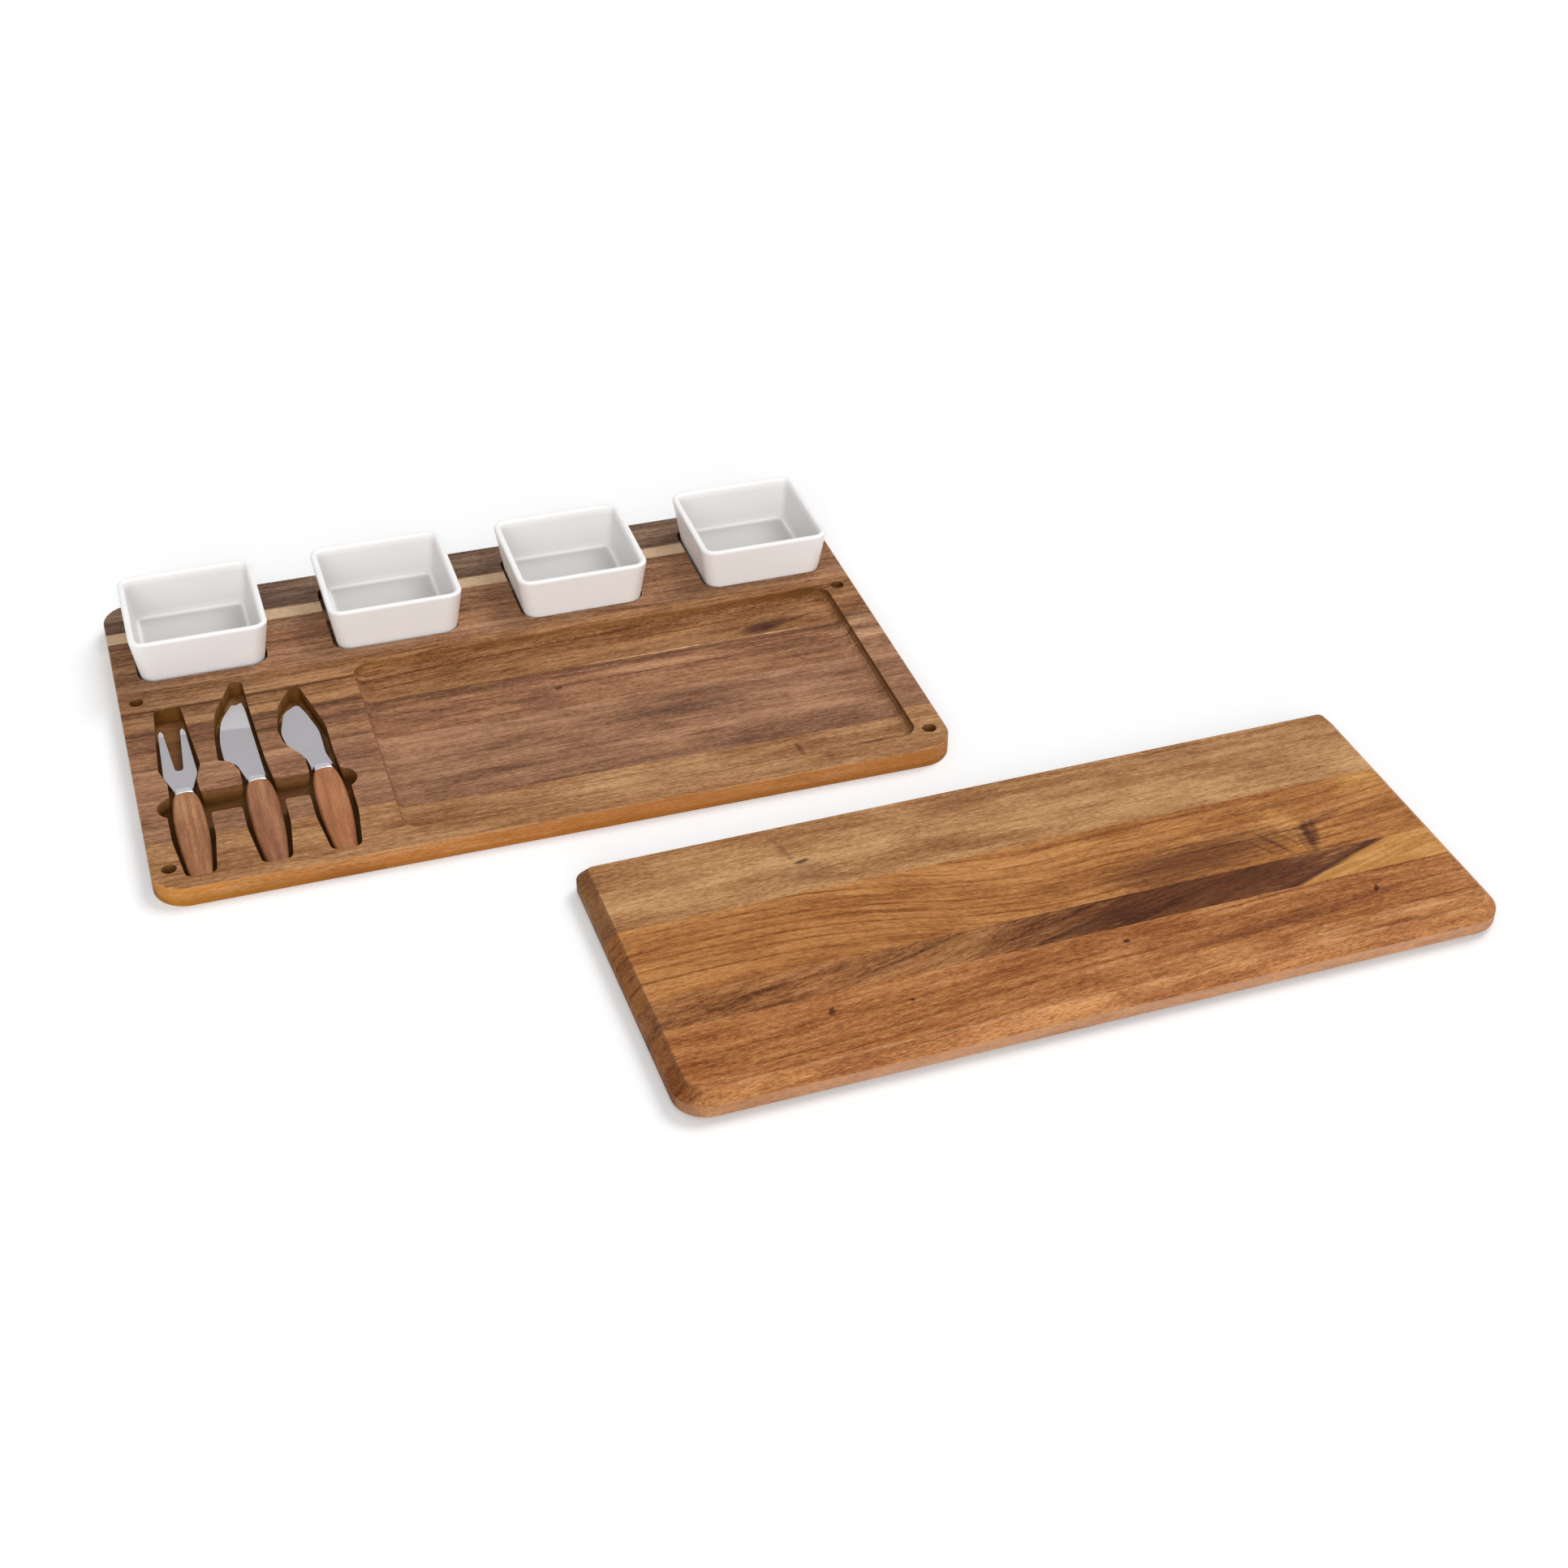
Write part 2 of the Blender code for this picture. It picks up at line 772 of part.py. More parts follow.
def swell(bm):
    # Cuts a straight bar at the stations, and gives each cut its breadth and height.
    for along, _, _ in handle_station_shares[1:-1]:
        bmesh.ops.bisect_plane(
            bm, geom=[*bm.verts, *bm.edges, *bm.faces],
            plane_co=(0, 0, along * handle_length), plane_no=(0, 0, 1))
    for vert in bm.verts:
        station = min(handle_station_shares, key=lambda one: abs(one[0] * handle_length - vert.co.z))
        vert.co.x *= station[1]
        vert.co.y *= station[2]
    bmesh.ops.triangulate(bm, faces=bm.faces)


def make_handle(tool, axis, tang):
    mesh = prism(barrel_section(handle_width, handle_thickness), 0, handle_length)
    with_bmesh(mesh, swell)
    mesh.transform(along_handle(-collar_setback - collar_length - seat_gap))
    shade_round(mesh)
    wood = new_material(tool["name"] + "_wood", (0.21, 0.085, 0.045), roughness=0.45, metallic=0)
    handle = new_piece(tool["name"] + "_handle", mesh, wood, axis)
    add_boolean(handle, tang, "DIFFERENCE")


# Lid, in a frame whose origin is the middle of its underside

def make_lid():
    rest_y = front - lid_rest_gap - lid_depth / 2
    axis = new_axis("lid_axis", (lid_rest_shift, rest_y, peg_drop), lid_rest_turn)
    mesh = board_blank(board_length, lid_depth, lid_thickness, lid_corner_radius, lid_back_corner_radius)
    with_bmesh(mesh, round_level, lid_thickness, lid_chamfer, 1)
    blank = new_cutter("lid_blank", mesh, axis)
    for number, place in enumerate(peg_places(lid_depth), 1):
        socket = new_cutter(f"peg_socket_{number}", socket_mesh(), axis)
        socket.location = (*place, 0)
        add_boolean(blank, socket, "DIFFERENCE")
        make_peg(number, place, axis)
    places = joint_places(lid_depth, lid_joint_shares)
    make_staves("lid", blank, places, lid_thickness, lid_shades, axis)


def socket_mesh():
    radius = peg_diameter / 2 + seat_gap
    return turned([(0, peg_socket_depth), (radius, peg_socket_depth), (radius, -overrun), (0, -overrun)])


def make_peg(number, place, axis):
    radius = peg_diameter / 2
    top = peg_socket_depth - seat_gap
    mesh = turned([
        (0, top),
        (radius, top),
        (radius, peg_chamfer - peg_drop),
        (radius - peg_chamfer, -peg_drop),
        (0, -peg_drop),
    ])
    shade_round(mesh)
    wood = new_material(f"lid_peg_{number}", (0.36, 0.2, 0.1), roughness=0.5, metallic=0)
    peg = new_piece(f"lid_peg_{number}", mesh, wood, axis)
    peg.location = (*place, 0)


clear_scene()
parts = new_collection("tapas_board")
cutters = new_collection("cutters")
make_base()
make_bowls()
for tool in tools:
    make_tool(tool)
make_lid()
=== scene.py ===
import math

import bmesh
import bpy
from mathutils import Matrix, Vector

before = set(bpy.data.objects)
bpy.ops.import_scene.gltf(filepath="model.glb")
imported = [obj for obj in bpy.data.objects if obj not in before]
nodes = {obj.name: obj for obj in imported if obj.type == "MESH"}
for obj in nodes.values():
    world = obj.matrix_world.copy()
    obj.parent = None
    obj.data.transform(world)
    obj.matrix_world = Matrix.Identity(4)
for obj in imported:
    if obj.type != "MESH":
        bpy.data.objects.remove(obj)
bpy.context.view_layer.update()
mm = 1000.0  # millimetres in one of the frame's metres
print("frame loaded,", len(nodes), "nodes")


# Shader wiring: short names for the nodes used over and over

def linear(colour):  # an sRGB colour of 0 to 255 as the linear colour a socket takes
    parts = [part / 255 for part in colour]
    return tuple(p / 12.92 if p <= 0.04045 else ((p + 0.055) / 1.055) ** 2.4 for p in parts) + (1.0,)


class Wiring:
    def __init__(self, tree):
        self.tree = tree

    def node(self, kind, **settings):
        made = self.tree.nodes.new(kind)
        for key, value in settings.items():
            setattr(made, key, value)
        return made

    def put(self, socket, value):
        if isinstance(value, bpy.types.NodeSocket):
            self.tree.links.new(value, socket)
        else:
            socket.default_value = value

    def math(self, operation, a, b=0.0, clamp=False):
        made = self.node("ShaderNodeMath", operation=operation, use_clamp=clamp)
        self.put(made.inputs[0], a)
        self.put(made.inputs[1], b)
        return made.outputs[0]

    def times(self, *values):
        total = values[0]
        for value in values[1:]:
            total = self.math("MULTIPLY", total, value)
        return total

    def plus(self, a, b):
        return self.math("ADD", a, b)

    def centred(self, value, strength):  # a value round 0.5 as a push to either side of 0
        return self.math("MULTIPLY", self.math("SUBTRACT", value, 0.5), strength)

    def vector(self, operation, a, b=(0, 0, 0)):
        made = self.node("ShaderNodeVectorMath", operation=operation)
        self.put(made.inputs[0], a)
        self.put(made.inputs[1], b)
        return made.outputs["Value" if operation in ("LENGTH", "DOT_PRODUCT") else "Vector"]

    def scaled(self, a, scale):
        made = self.node("ShaderNodeVectorMath", operation="SCALE")
        self.put(made.inputs[0], a)
        self.put(made.inputs["Scale"], scale)
        return made.outputs["Vector"]

    def turned(self, point, angle):
        made = self.node("ShaderNodeVectorRotate", rotation_type="Z_AXIS")
        self.put(made.inputs["Vector"], point)
        self.put(made.inputs["Angle"], angle)
        return made.outputs[0]

    def split(self, vector):
        made = self.node("ShaderNodeSeparateXYZ")
        self.put(made.inputs[0], vector)
        return made.outputs

    def joined(self, x, y, z):
        made = self.node("ShaderNodeCombineXYZ")
        for socket, value in zip(made.inputs, (x, y, z)):
            self.put(socket, value)
        return made.outputs[0]

    def shrunk(self, parts, sizes):  # a place whose parts are counted in those sizes
        return self.joined(*[self.math("DIVIDE", part, size) for part, size in zip(parts, sizes)])

    def noise(self, vector, detail, roughness):
        made = self.node("ShaderNodeTexNoise")
        self.put(made.inputs["Vector"], vector)
        made.inputs["Scale"].default_value = 1.0
        made.inputs["Detail"].default_value = detail
        made.inputs["Roughness"].default_value = roughness
        return made.outputs[0]

    def cloud(self, point, size, detail, roughness):
        return self.noise(self.scaled(point, 1 / size), detail, roughness)

    def remap(self, value, low, high, toLow=0.0, toHigh=1.0, smooth=False):
        made = self.node("ShaderNodeMapRange", interpolation_type="SMOOTHSTEP" if smooth else "LINEAR")
        for socket, item in zip(made.inputs, (value, low, high, toLow, toHigh)):
            self.put(socket, item)
        return made.outputs[0]

    def mix(self, factor, a, b, blend="MIX"):
        made = self.node("ShaderNodeMix", data_type="RGBA", blend_type=blend)
        self.put(made.inputs[0], factor)
        self.put(made.inputs[6], a)
        self.put(made.inputs[7], b)
        return made.outputs[2]

    def ramp(self, value, stops):
        made = self.node("ShaderNodeValToRGB")
        self.put(made.inputs[0], value)
        points = made.color_ramp.elements
        while len(points) < len(stops):
            points.new(0.5)
        for point, (place, colour) in zip(points, stops):
            point.position = place
            point.color = colour
        return made.outputs[0]

    def curve(self, value, points):
        made = self.node("ShaderNodeFloatCurve")
        self.put(made.inputs["Value"], value)
        line = made.mapping.curves[0]
        while len(line.points) < len(points):
            line.points.new(0.5, 0.5)
        for point, place in zip(line.points, points):
            point.location = place
        made.mapping.update()
        return made.outputs[0]

    def group(self, tree, values):
        made = self.node("ShaderNodeGroup")
        made.node_tree = tree
        for key, value in values.items():
            self.put(made.inputs[key], value)
        return made.outputs


def newGroup(name, inputs, outputs):
    tree = bpy.data.node_groups.new(name, "ShaderNodeTree")
    for key, value in inputs.items():  # a vector input has no value of its own here
        kind = "NodeSocketVector" if value is None else "NodeSocketFloat"
        socket = tree.interface.new_socket(key, in_out="INPUT", socket_type=kind)
        if value is not None:
            socket.default_value = value
    for key in outputs:
        tree.interface.new_socket(key, in_out="OUTPUT", socket_type="NodeSocketFloat")
    wires = Wiring(tree)
    return wires, wires.node("NodeGroupInput").outputs, wires.node("NodeGroupOutput").inputs


def newMaterial(name):
    made = bpy.data.materials.new(name)
    made.use_nodes = True
    made.node_tree.nodes.clear()
    wires = Wiring(made.node_tree)
    shader = wires.node("ShaderNodeBsdfPrincipled")
    output = wires.node("ShaderNodeOutputMaterial")
    wires.put(output.inputs["Surface"], shader.outputs[0])
    return made, wires, shader


def bumped(wires, shader, height, distance):
    made = wires.node("ShaderNodeBump")
    made.inputs["Strength"].default_value = 1.0
    made.inputs["Distance"].default_value = distance
    wires.put(made.inputs["Height"], height)
    wires.put(shader.inputs["Normal"], made.outputs[0])


def dress(nodeName, material):
    piece = nodes[nodeName]
    piece.data.materials.clear()
    piece.data.materials.append(material)


def topOf(nodeName):  # the height of a piece's highest point, in millimetres
    return max(vertex.co.z for vertex in nodes[nodeName].data.vertices) * mm


# Shared effects

noiseSpan = (0.3, 0.7)  # the stretch of a noise that a roughness follows

grainSizes = {
    # millimetres along and across the grain, then the detail and roughness of the noise
    "bigBend": (170, 36, 2, 0.5), "smallBend": (30, 8, 2, 0.5),
    "Thread": (22, 2.2, 2, 0.55), "Fine": (3.4, 0.65, 3, 0.7), "Patch": (70, 18, 3, 0.55),
    "Pore": (4.2, 0.42, 1, 0.5), "poreRange": (0.57, 0.7),  # the part of the pore noise that opens pores
    "streakDetail": (3, 0.6),
    "bigReach": 2.4, "smallReach": 0.8,  # how far each bend carries the grain sideways
    "seedStep": (431.0, 87.0),  # how far apart two seeds lie in the noise
}


def makeGrainGroup():
    inputs = {"Point": None, "Seed": 0, "Sweep": 0, "Wander": 1.5, "Streak Length": 90, "Streak Width": 6}
    wires, given, out = newGroup("woodGrain", inputs, ("Across", "Streak", "Thread", "Fine", "Pore", "Patch"))
    x, y, z = wires.split(given["Point"])  # millimetres
    stepX, stepY = grainSizes["seedStep"]
    seededX = wires.plus(x, wires.times(given["Seed"], stepX))
    seededY = wires.plus(y, wires.times(given["Seed"], stepY))

    def stretched(sideways, along, across, detail, roughness):
        place = wires.shrunk((seededX, sideways, z), (along, across, across))
        return wires.noise(place, detail, roughness)

    big = wires.centred(stretched(seededY, *grainSizes["bigBend"]), grainSizes["bigReach"])
    small = wires.centred(stretched(seededY, *grainSizes["smallBend"]), grainSizes["smallReach"])
    shift = wires.times(wires.plus(big, small), given["Wander"])
    shift = wires.math("SUBTRACT", shift, given["Sweep"])
    bentY = wires.plus(seededY, shift)
    wires.put(out["Across"], wires.plus(y, shift))
    streak = stretched(bentY, given["Streak Length"], given["Streak Width"], *grainSizes["streakDetail"])
    wires.put(out["Streak"], streak)
    for key in ("Thread", "Fine", "Patch"):
        wires.put(out[key], stretched(bentY, *grainSizes[key]))
    wires.put(out["Pore"], wires.remap(stretched(bentY, *grainSizes["Pore"]), *grainSizes["poreRange"]))
    return wires.tree


markFray = {"size": (14.0, 1.6, 1.0), "noise": (4, 0.6)}  # how a mark's edge frays along the grain


def makeMarkGroup():
    inputs = {"Point": None, "Centre": None, "Length": 10, "Breadth": 4, "Angle": 0, "Ragged": 1, "Soft": 0.7}
    wires, given, out = newGroup("woodMark", inputs, ("Mask",))
    off = wires.vector("SUBTRACT", given["Point"], given["Centre"])
    x, y, z = wires.split(wires.turned(off, wires.times(given["Angle"], -1.0)))
    away = wires.vector("LENGTH", wires.shrunk((x, y, 0.0), (given["Length"], given["Breadth"], 1.0)))
    fray = wires.noise(wires.shrunk((x, y, z), markFray["size"]), *markFray["noise"])
    away = wires.plus(away, wires.centred(fray, given["Ragged"]))
    core = wires.math("SUBTRACT", 1.0, given["Soft"])
    wires.put(out["Mask"], wires.remap(away, core, 1.0, 1.0, 0.0, smooth=True))
    return wires.tree


grainGroup = makeGrainGroup()
markGroup = makeMarkGroup()
print("shared effects made")


# Wood: one look per stave

lidPlace = {"x": 207.1, "y": -273.58, "turn": 1.4}  # millimetres and degrees

# Colours are sRGB, places are millimetres in the board's own plane. A band is a place and a tone, a line
# a place, a width and a depth, and a mark its centre, length, breadth, angle, colour and strength

baseLooks = {
    "base_stave_1": {
        "low": -141.3, "high": -99.4, "seed": 1.3,
        "dark": (134, 88, 52), "middle": (168, 121, 80), "pale": (198, 153, 108),
        "bands": [(-141, -0.05), (-124, 0.0), (-112, 0.08), (-101, 0.03)],
        "lines": [(-107.5, 0.9, 0.16), (-128.4, 0.8, 0.16), (-117.5, 0.7, 0.08), (-134, 0.9, 0.08)],
        "marks": [
            (135, -112, 1.8, 8, 4, (112, 74, 44), 0.55), (146, -129, 2.4, 9, 2, (120, 80, 48), 0.45),
            (-91, -121, 9, 2.6, 0, (118, 78, 46), 0.5), (177, -117, 11, 1.6, 3, (104, 66, 40), 0.55),
            (92, -111.8, 5, 1.8, 0, (120, 78, 46), 0.5),
        ],
        "side": (192, 117, 46), "sideLeft": (214, 142, 50),
    },
    "base_stave_2": {
        "low": -99.4, "high": -33.6, "seed": 2.7,
        "dark": (116, 78, 56), "middle": (155, 111, 82), "pale": (182, 136, 103),
        "bands": [
            (-98, -0.16), (-88, -0.04), (-76, 0.05), (-64, 0.05), (-55, -0.03), (-44, 0.03), (-36, 0.05),
        ],
        "lines": [(-60.5, 0.8, 0.12), (-50.5, 1.2, 0.1), (-86, 0.9, 0.1), (-36.2, 0.6, 0.1)],
        "marks": [
            (82, -54, 42, 4.5, 0, (108, 80, 64), 0.55), (110, -92, 11, 9, 40, (126, 86, 66), 0.5),
            (-24, -60.5, 12, 1.8, 0, (106, 76, 58), 0.6), (-64, -61.8, 16, 1.4, 0, (112, 78, 58), 0.5),
            (-96, -66, 15, 36, 0, (142, 100, 73), 0.7),
        ],
    },
    "base_stave_3": {
        "low": -33.6, "high": 4.5, "seed": 3.1, "layers": {"Streak": 0.45, "Patch": 0.75},
        "dark": (108, 70, 48), "middle": (155, 108, 77), "pale": (188, 140, 103),
        "bands": [
            (-33, -0.03), (-26, 0.06), (-19, 0.07), (-12.5, -0.12), (-7, 0.12), (-2, -0.12), (3, -0.18),
        ],
        "lines": [
            (1.6, 0.9, 0.2), (-2.4, 0.7, 0.14), (-12.4, 1.0, 0.26), (-15.5, 0.6, 0.08), (-31.5, 0.8, 0.14),
        ],
        "marks": [
            (23, -13.6, 3, 2.2, 20, (92, 58, 40), 0.8), (13, -22, 14, 11, 0, (128, 84, 64), 0.6),
            (-172, -14, 84, 42, 0, (134, 92, 65), 0.8), (206, -15, 16, 24, 0, (172, 127, 95), 0.7),
        ],
    },
    "base_stave_4": {
        "low": 4.5, "high": 45.2, "seed": 4.9, "wander": 1.2, "layers": {"Streak": 0.4, "Patch": 0.7},
        "lineGain": 1.35,
        "dark": (104, 62, 34), "middle": (150, 104, 66), "pale": (182, 134, 90),
        "sweep": [(-216, -4), (-90, -3), (-10, 2.5), (80, 6), (216, 9)],
        "bands": [(5, 0.02), (14, 0.06), (21, -0.02), (27, -0.18), (31, 0.12), (38, 0.05), (45, -0.05)],
        "lines": [
            (27.6, 1.3, 0.3), (17.5, 1.0, 0.14), (33, 0.8, 0.14), (37.5, 0.8, 0.1), (41.5, 0.8, 0.16),
            (9, 0.7, 0.08),
        ],
        "marks": [
            (156, 13.5, 19, 4.4, 12, (104, 66, 44), 0.7), (172, 15.5, 20, 2.0, 14, (88, 52, 34), 0.6),
            (110, 15, 60, 6, 7, (128, 86, 58), 0.35), (-80, 32.5, 18, 2.2, 4, (100, 58, 30), 0.5),
            (-180, 26, 70, 34, 0, (136, 97, 65), 0.7), (120, 5.0, 75, 0.7, 0, (200, 156, 116), 0.7),
            (151, 12, 13, 6, 10, (84, 50, 34), 0.7),
        ],
    },
    "base_stave_5": {
        "low": 45.2, "high": 98.9, "seed": 5.6, "layers": {"Streak": 0.5, "Patch": 0.75},
        "dark": (106, 69, 48), "middle": (152, 108, 76), "pale": (182, 138, 104),
        "bands": [(46, 0.16), (54, 0.12), (62, -0.06), (70, -0.02), (80, -0.12), (90, -0.02), (98, -0.1)],
        "lines": [
            (52.5, 0.8, 0.12), (59, 1.4, 0.14), (66, 0.9, 0.1), (74.5, 1.6, 0.16), (86, 1.2, 0.14),
            (93, 0.9, 0.1),
        ],
        "marks": [(-110, 92, 16, 4, 0, (176, 140, 114), 0.45), (60, 88, 40, 6, 0, (112, 70, 50), 0.5)],
    },
    "base_stave_6": {
        "low": 98.9, "high": 141.3, "seed": 6.2,
        "dark": (82, 58, 45), "middle": (117, 91, 73), "pale": (150, 121, 98),
        "bands": [(99, 0.05), (112, 0.0), (122, -0.08), (132, 0.04), (141, -0.08)],
        "lines": [(116, 0.9, 0.16), (121.5, 1.4, 0.2), (128, 0.9, 0.12), (134.5, 1.2, 0.18)],
        "marks": [],
        "strip": {
            "low": 99.0, "high": 110.4, "lowSoft": 0.6, "highSoft": 0.8, "wander": 3.0,
            "colour": (224, 192, 156), "grain": 0.3, "cover": 0.92,
        },
    },
}

lidLooks = {
    "lid_stave_1": {
        "low": -93.7, "high": -44.6, "seed": 7.4, "wander": 1.8,
        "dark": (126, 68, 31), "middle": (170, 108, 59), "pale": (203, 143, 90),
        "layers": {"Streak": 0.42, "Thread": 0.55, "Patch": 0.65}, "lineGain": 1.5,
        "sweep": [(-216, -9), (-120, -5), (0, 5), (100, 10), (216, 13)],
        "bands": [(-93, 0.1), (-84, 0.03), (-72, -0.03), (-60, 0.03), (-50, 0.02)],
        "lines": [(-58, 0.9, 0.16), (-65, 0.8, 0.1), (-72, 1.2, 0.14), (-79, 0.8, 0.1), (-86, 0.9, 0.12)],
        "marks": [
            (-130, -57, 3.2, 2.0, 60, (84, 46, 26), 0.85), (-91, -61.5, 1.6, 1.0, 0, (66, 34, 20), 0.9),
            (23.5, -55.5, 2.0, 1.6, 0, (76, 42, 28), 0.9), (160, -59, 3.2, 1.6, 60, (80, 42, 24), 0.85),
            # the pale mark at (150, -80), along the front rounding's right end, is a painted highlight
            (98, -67, 70, 4.2, 4, (124, 70, 38), 0.5), (150, -80, 60, 1.8, 2, (200, 142, 92), 0.25),
        ],
        "side": (200, 158, 128), "sideLeft": (182, 136, 104),
    },
    "lid_stave_2": {
        "low": -44.6, "high": -22.5, "seed": 8.8, "wander": 1.2,
        "dark": (106, 62, 31), "middle": (164, 109, 64), "pale": (192, 138, 92),
        "layers": {"Streak": 0.45, "Thread": 0.7},
        "sweep": [(-216, -40), (-100, -25), (0, 0), (100, 25), (216, 50)],
        "bands": [(-100, 0.1), (-60, 0.05), (-20, -0.05), (20, 0.0)],
        "lines": [
            (-50, 1.2, 0.2), (-40, 1.6, 0.2), (-30, 1.2, 0.2), (-22, 1.2, 0.16), (-10, 1.4, 0.2),
            (0, 1.2, 0.16),
        ],
        "marks": [
            (72, -33, 118, 30, 3, (98, 53, 26), 0.88), (112, -30, 52, 9, 12, (140, 92, 58), 0.4),
            (-140, -34, 78, 22, 0, (164, 107, 62), 0.6), (10, -39, 46, 3.2, 12, (118, 76, 48), 0.6),
            (-96, -36, 40, 2.2, 14, (126, 76, 44), 0.6), (-150, -30, 34, 1.8, 14, (132, 82, 50), 0.5),
        ],
        "lens": {
            "near": (118, -45), "far": (184, -21), "soft": 3.0, "wander": 5.0,
            "colour": (212, 156, 90), "streak": (188, 130, 68), "threads": (0.4, 0.62),
            "edge": (66, 32, 22), "seamOut": 5.0, "seamIn": 2.5, "seamCover": 0.85,
        },
    },
    "lid_stave_3": {
        "low": -22.5, "high": 32.0, "seed": 9.5, "wander": 1.3,
        "dark": (118, 65, 28), "middle": (174, 114, 61), "pale": (207, 148, 90),
        "layers": {"Streak": 0.3, "Thread": 0.5, "Fine": 0.8, "Patch": 0.45}, "lineGain": 1.1,
        "sweep": [
            (-216, 12), (-130, 12), (-100, 8.5), (-70, 2), (-30, -8), (0, -11.5), (50, -10), (130, -9),
            (216, -2),
        ],
        "bands": [(-40, 0.0), (-10, 0.05), (5, 0.02), (20, 0.08), (45, 0.02)],
        "lines": [
            (37.5, 1.2, 0.2), (28, 0.8, 0.18), (20.5, 1.0, 0.26), (13.5, 0.9, 0.22), (7, 0.9, 0.26),
            (0.5, 1.4, 0.2), (-6, 0.9, 0.24), (-13, 1.1, 0.2), (-22, 1.0, 0.2),
        ],
        "marks": [
            (84, -8, 58, 15, 6, (112, 66, 34), 0.72), (140, 8, 9, 22, 18, (200, 142, 80), 0.55),
            (149, -9, 3.4, 14, -12, (80, 42, 22), 0.8), (154, -6, 2.2, 12, -16, (92, 50, 28), 0.6),
            (144, -12, 2.0, 9, -6, (92, 50, 28), 0.5), (137, -7, 1.4, 10, 34, (110, 64, 36), 0.4),
            (129, -9, 1.8, 13, 28, (96, 54, 30), 0.55), (122, -12, 1.4, 9, 34, (110, 64, 36), 0.4),
            (158, 1, 20, 3.0, 14, (112, 64, 32), 0.6), (196, 26, 18, 7, 14, (214, 156, 84), 0.5),
        ],
    },
    "lid_stave_4": {
        "low": 32.0, "high": 93.7, "seed": 10.6,
        "dark": (140, 92, 54), "middle": (176, 127, 82), "pale": (204, 158, 109),
        "layers": {"Streak": 0.45, "Thread": 0.5, "Patch": 0.8},
        "bands": [(33, 0.03), (45, 0.1), (60, 0.05), (70, 0.0), (82, -0.06), (93, -0.1)],
        "lines": [
            (38, 0.7, 0.08), (52, 0.8, 0.1), (60.5, 0.8, 0.12), (67.5, 0.8, 0.12), (76, 0.9, 0.1),
            (84, 0.9, 0.12),
        ],
        "marks": [
            (-105.5, 56, 4.6, 1.7, 12, (84, 54, 34), 0.85), (-111, 67, 2.2, 12, 12, (132, 90, 58), 0.5),
            (-104, 47, 15, 9, 0, (128, 86, 54), 0.45), (118, 78, 34, 7, 0, (146, 100, 64), 0.4),
            (-15, 78, 24, 10, 0, (150, 102, 66), 0.4),
        ],
    },
}

woodFinish = {
    "halfLength": 216.0,  # of both boards
    "profileMargin": 60.0,  # the tone profile runs on past a stave, for grain that bends in from outside
    "sweepReach": 120.0,  # the widest sweep of the grain
    "layers": {"Streak": 0.62, "Thread": 0.62, "Fine": 1.15, "Patch": 0.9},  # what each adds to the tone
    "lineTail": 1.6,  # how much softer a line's far side is
    "lineFade": (0.35, 0.65, 0.15, 1.4),  # lines fade in and out along the stave as Patch does
    "deep": 0.6, "light": 1.22,  # the ends past the dark and the pale tone
    "darkAt": 0.24, "paleAt": 0.76,
    "markSpread": 1.25, "markStrength": 1.2, "markEdge": {"Ragged": 1.1, "Soft": 0.7},
    "pore": 0.45, "poreTone": (66, 38, 24), "poreDepth": 0.8,
    "roughness": (0.46, 0.62), "bump": 0.00012, "sheen": 0.07,
    "upright": (0.75, 0.4),  # from a face's tilt to how far it counts as a side
    # the paler top roundings: partly handling wear, partly a painted highlight
    "wearAndHighlightTone": (206, 164, 124), "wearAndHighlightTilt": (0.985, 0.9), "wearAndHighlightDown": (1.2, 0.3),
    "wearAndHighlightFade": (0.35, 0.65, 0.05, 0.35),
    "sideFacing": (-0.1, -0.5, 0.0, 0.62), "sideLeftward": (-120.0, -212.0),
    "sideGrain": (0.4, 0.6, 0.0, 0.35),
}

lidEnd = {"facing": (-0.2, -0.5, 0.0, 0.9), "tint": (0.56, 0.5, 0.48, 1.0)}  # its left end is darker: its end grain, with painted shade on the end that faces away from the lamps

# Painted shade in the base's cuts: deeper down, on walls facing away from the key lamp, at the bowl seats and
# in the gaps beside the handles. The cut tone is partly real, as cut faces and end grain take up more oil
baseCuts = {
    # a row starts at its first place or facing and ends at its second. The third and fourth number, or
    # else 0 and 1, say how much is laid on at each
    "tone": (122, 79, 30), "shade": (0.25, 0.2, 0.16, 1.0),
    "heart": (190.0, 115.0), "heartReach": (24.0, 23.0),  # cuts lie within this reach of the middle rectangle
    "wallDepth": (11.2, 5.0, 0.45, 0.85), "wallAway": (-0.2, -0.8, 1.0, 1.35),
    "floorLevel": (3.6, 2.8), "floorFrontward": (-50.0, -62.0, 0.5, 0.75),
    "shadeAway": (-0.2, -0.8, 0.0, 0.5), "shadeSeats": (42.0, 47.0, 0.0, 0.85),
    "handleDepth": (7.0, 3.0, 0.0, 0.6), "handleFrontward": (-56.0, -62.0), "handleLeftward": (-98.0, -100.0),
}


def profileStops(look):  # grey stops across a stave from its bands and lines: 0.5 is its middle tone
    low, high = look["low"] - woodFinish["profileMargin"], look["high"] + woodFinish["profileMargin"]
    bands = sorted(look["bands"])

    def level(y):
        if y <= bands[0][0]:
            return bands[0][1]
        for (y0, v0), (y1, v1) in zip(bands, bands[1:]):
            if y <= y1:
                return v0 + (v1 - v0) * (y - y0) / (y1 - y0)
        return bands[-1][1]

    places = {y: level(y) for y, _ in bands}
    for y, width, depth in look["lines"]:
        far = y + width * woodFinish["lineTail"]
        places[y - width] = level(y - width)
        places[y] = level(y) - depth * look.get("lineGain", 1.0)
        places[far] = level(far)
    stops = [((y - low) / (high - low), (0.5 + v,) * 3 + (1.0,)) for y, v in sorted(places.items())]
    return stops[:32]  # a colour ramp takes no more


